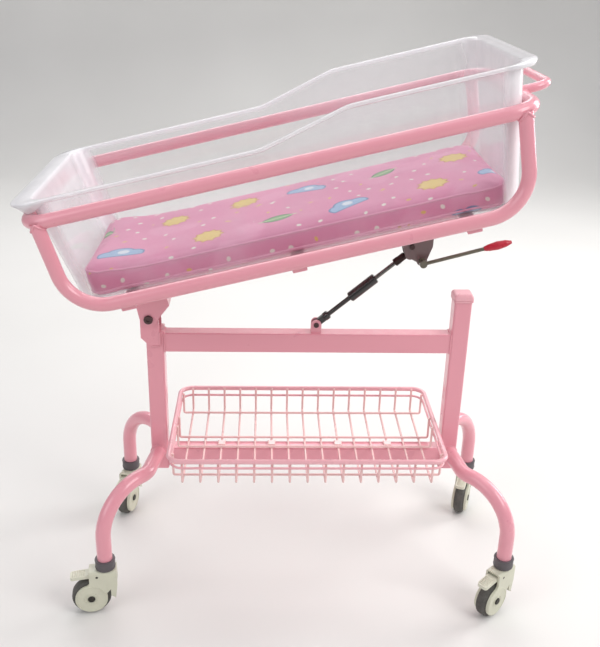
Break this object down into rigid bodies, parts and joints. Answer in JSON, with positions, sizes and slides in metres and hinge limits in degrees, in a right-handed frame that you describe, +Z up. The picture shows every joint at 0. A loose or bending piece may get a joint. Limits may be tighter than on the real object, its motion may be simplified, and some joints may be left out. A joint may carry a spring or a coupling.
{
  "type": "tilting hospital bassinet",
  "caption": "Clear tub with mattress on a tilting tubular cradle, over a castored frame with a wire basket.",
  "frame": {"origin": "on the floor, below the middle of the overall box", "axes": "+X from the foot end to the head end with the push handle, +Y away from the side that carries the release lever, +Z up"},
  "size_m": [0.913, 0.4396, 1.0688],
  "materials": {
    "frame_paint": "pink powder coat",
    "cap_plastic": "pink moulded plastic",
    "bolt_steel": "zinc plated",
    "collar_plastic": "dark grey plastic",
    "rim_coat": "pale pink dip coat",
    "wire_coat": "cream dip coat",
    "bracket_paint": "dark coat",
    "tub_clear": "clear moulded plastic",
    "mattress_cover": "printed woven cover",
    "spring_paint": "black gloss paint",
    "rod_steel": "polished rod",
    "rod_end_metal": "bronzed steel",
    "lever_paint": "dark coat",
    "grip_plastic": "red moulded plastic",
    "castor_plastic": "cream moulded plastic",
    "pedal_plastic": "cream moulded plastic",
    "hub_plastic": "grey cream plastic",
    "axle_steel": "dark steel",
    "tyre_rubber": "grey rubber"
  },
  "bodies": {
    "base": {"foot_post": "frame_paint", "head_post": "frame_paint", "cross_bar": "frame_paint", "lower_rail": "frame_paint", "front_foot_leg": "frame_paint", "front_head_leg": "frame_paint", "back_foot_leg": "frame_paint", "back_head_leg": "frame_paint", "pivot_brackets": "frame_paint", "spring_lug": "frame_paint", "head_post_cap": "cap_plastic", "pivot_bolt": "bolt_steel", "spring_lower_bolt": "bolt_steel", "stem_collars": "collar_plastic", "basket_rim": "rim_coat", "basket_cross_wires": "wire_coat", "basket_long_wires": "wire_coat", "basket_clips": "wire_coat"},
    "cradle": {"cradle_ring": "frame_paint", "front_hoop": "frame_paint", "back_hoop": "frame_paint", "cross_tubes": "frame_paint", "centre_rail": "frame_paint", "tilt_lug": "frame_paint", "push_handle": "frame_paint", "spring_bracket": "bracket_paint", "spring_bracket_bolt": "bolt_steel"},
    "tub": {"bassinet_tub": "tub_clear"},
    "mattress": {"mattress": "mattress_cover"},
    "spring_cylinder": {"gas_spring_cylinder": "spring_paint", "gas_spring_gland": "spring_paint"},
    "spring_rod": {"gas_spring_rod": "rod_steel", "gas_spring_rod_end": "rod_end_metal"},
    "release_lever": {"release_lever": "lever_paint", "lever_grip": "grip_plastic"},
    "foot_front_castor": {"foot_front_fork": "castor_plastic", "foot_front_kingpin": "bolt_steel", "foot_front_axle": "axle_steel"},
    "foot_front_wheel": {"foot_front_wheel_hub": "hub_plastic", "foot_front_tyre": "tyre_rubber"},
    "foot_front_pedal": {"foot_front_brake_pedal": "pedal_plastic"},
    "head_front_castor": {"head_front_fork": "castor_plastic", "head_front_kingpin": "bolt_steel", "head_front_axle": "axle_steel"},
    "head_front_wheel": {"head_front_wheel_hub": "hub_plastic", "head_front_tyre": "tyre_rubber"},
    "head_front_pedal": {"head_front_brake_pedal": "pedal_plastic"},
    "foot_back_castor": {"foot_back_fork": "castor_plastic", "foot_back_kingpin": "bolt_steel", "foot_back_axle": "axle_steel"},
    "foot_back_wheel": {"foot_back_wheel_hub": "hub_plastic", "foot_back_tyre": "tyre_rubber"},
    "foot_back_pedal": {"foot_back_brake_pedal": "pedal_plastic"},
    "head_back_castor": {"head_back_fork": "castor_plastic", "head_back_kingpin": "bolt_steel", "head_back_axle": "axle_steel"},
    "head_back_wheel": {"head_back_wheel_hub": "hub_plastic", "head_back_tyre": "tyre_rubber"},
    "head_back_pedal": {"head_back_brake_pedal": "pedal_plastic"}
  },
  "joints": [
    {"name": "cradle_tilt", "type": "hinge", "parent": "base", "child": "cradle", "pos_m": [-0.26483, 0.0088, 0.559], "axis": [0, 1, 0], "range_deg": [0, 14]},
    {"name": "tub_lift", "type": "slide", "parent": "cradle", "child": "tub", "axis": [-0.2419, 0, 0.9703], "range_m": [0, 0.2]},
    {"name": "mattress_lift", "type": "slide", "parent": "tub", "child": "mattress", "axis": [-0.2419, 0, 0.9703], "range_m": [0, 0.15]},
    {"name": "spring_swing", "type": "hinge", "parent": "base", "child": "spring_cylinder", "pos_m": [0.05517, 0.0088, 0.542], "axis": [0, 1, 0], "range_deg": [-0.5, 33.67]},
    {"name": "spring_stroke", "type": "slide", "parent": "spring_cylinder", "child": "spring_rod", "axis": [0.7542, 0, 0.6566], "range_m": [-0.03707, 0.0005]},
    {"name": "lever_pull", "type": "hinge", "parent": "cradle", "child": "release_lever", "pos_m": [0.24845, 0.0088, 0.67873], "axis": [0, 1, 0], "range_deg": [-12, 0], "stiffness_Nm_per_rad": 0.5},
    {"name": "foot_front_swivel", "type": "hinge", "parent": "base", "child": "foot_front_castor", "pos_m": [-0.34983, -0.1677, 0.0995], "axis": [0, 0, 1], "continuous": true},
    {"name": "foot_front_roll", "type": "hinge", "parent": "foot_front_castor", "child": "foot_front_wheel", "pos_m": [-0.37954, -0.17188, 0.0375], "axis": [-0.1392, 0.9903, 0], "continuous": true},
    {"name": "foot_front_brake", "type": "hinge", "parent": "foot_front_castor", "child": "foot_front_pedal", "pos_m": [-0.36667, -0.17007, 0.088], "axis": [0.1392, -0.9903, 0], "range_deg": [0, 10]},
    {"name": "head_front_swivel", "type": "hinge", "parent": "base", "child": "head_front_castor", "pos_m": [0.43017, -0.1677, 0.0995], "axis": [0, 0, 1], "continuous": true},
    {"name": "head_front_roll", "type": "hinge", "parent": "head_front_castor", "child": "head_front_wheel", "pos_m": [0.40753, -0.18738, 0.0375], "axis": [-0.6561, 0.7547, 0], "continuous": true},
    {"name": "head_front_brake", "type": "hinge", "parent": "head_front_castor", "child": "head_front_pedal", "pos_m": [0.41734, -0.17886, 0.088], "axis": [0.6561, -0.7547, 0], "range_deg": [0, 10]},
    {"name": "foot_back_swivel", "type": "hinge", "parent": "base", "child": "foot_back_castor", "pos_m": [-0.34983, 0.1853, 0.0995], "axis": [0, 0, 1], "continuous": true},
    {"name": "foot_back_roll", "type": "hinge", "parent": "foot_back_castor", "child": "foot_back_wheel", "pos_m": [-0.3576, 0.15632, 0.0375], "axis": [-0.9659, 0.2588, 0], "continuous": true},
    {"name": "foot_back_brake", "type": "hinge", "parent": "foot_back_castor", "child": "foot_back_pedal", "pos_m": [-0.35423, 0.16888, 0.088], "axis": [0.9659, -0.2588, 0], "range_deg": [0, 10]},
    {"name": "head_back_swivel", "type": "hinge", "parent": "base", "child": "head_back_castor", "pos_m": [0.43017, 0.1853, 0.0995], "axis": [0, 0, 1], "continuous": true},
    {"name": "head_back_roll", "type": "hinge", "parent": "head_back_castor", "child": "head_back_wheel", "pos_m": [0.41893, 0.15748, 0.0375], "axis": [-0.9272, 0.3746, 0], "continuous": true},
    {"name": "head_back_brake", "type": "hinge", "parent": "head_back_castor", "child": "head_back_pedal", "pos_m": [0.4238, 0.16953, 0.088], "axis": [0.9272, -0.3746, 0], "range_deg": [0, 10]}
  ],
  "couplings": [
    {"joint": "spring_swing", "follows": "cradle_tilt", "ratio": 2.3691},
    {"joint": "spring_stroke", "follows": "cradle_tilt", "m_per_rad": -0.14968}
  ]
}
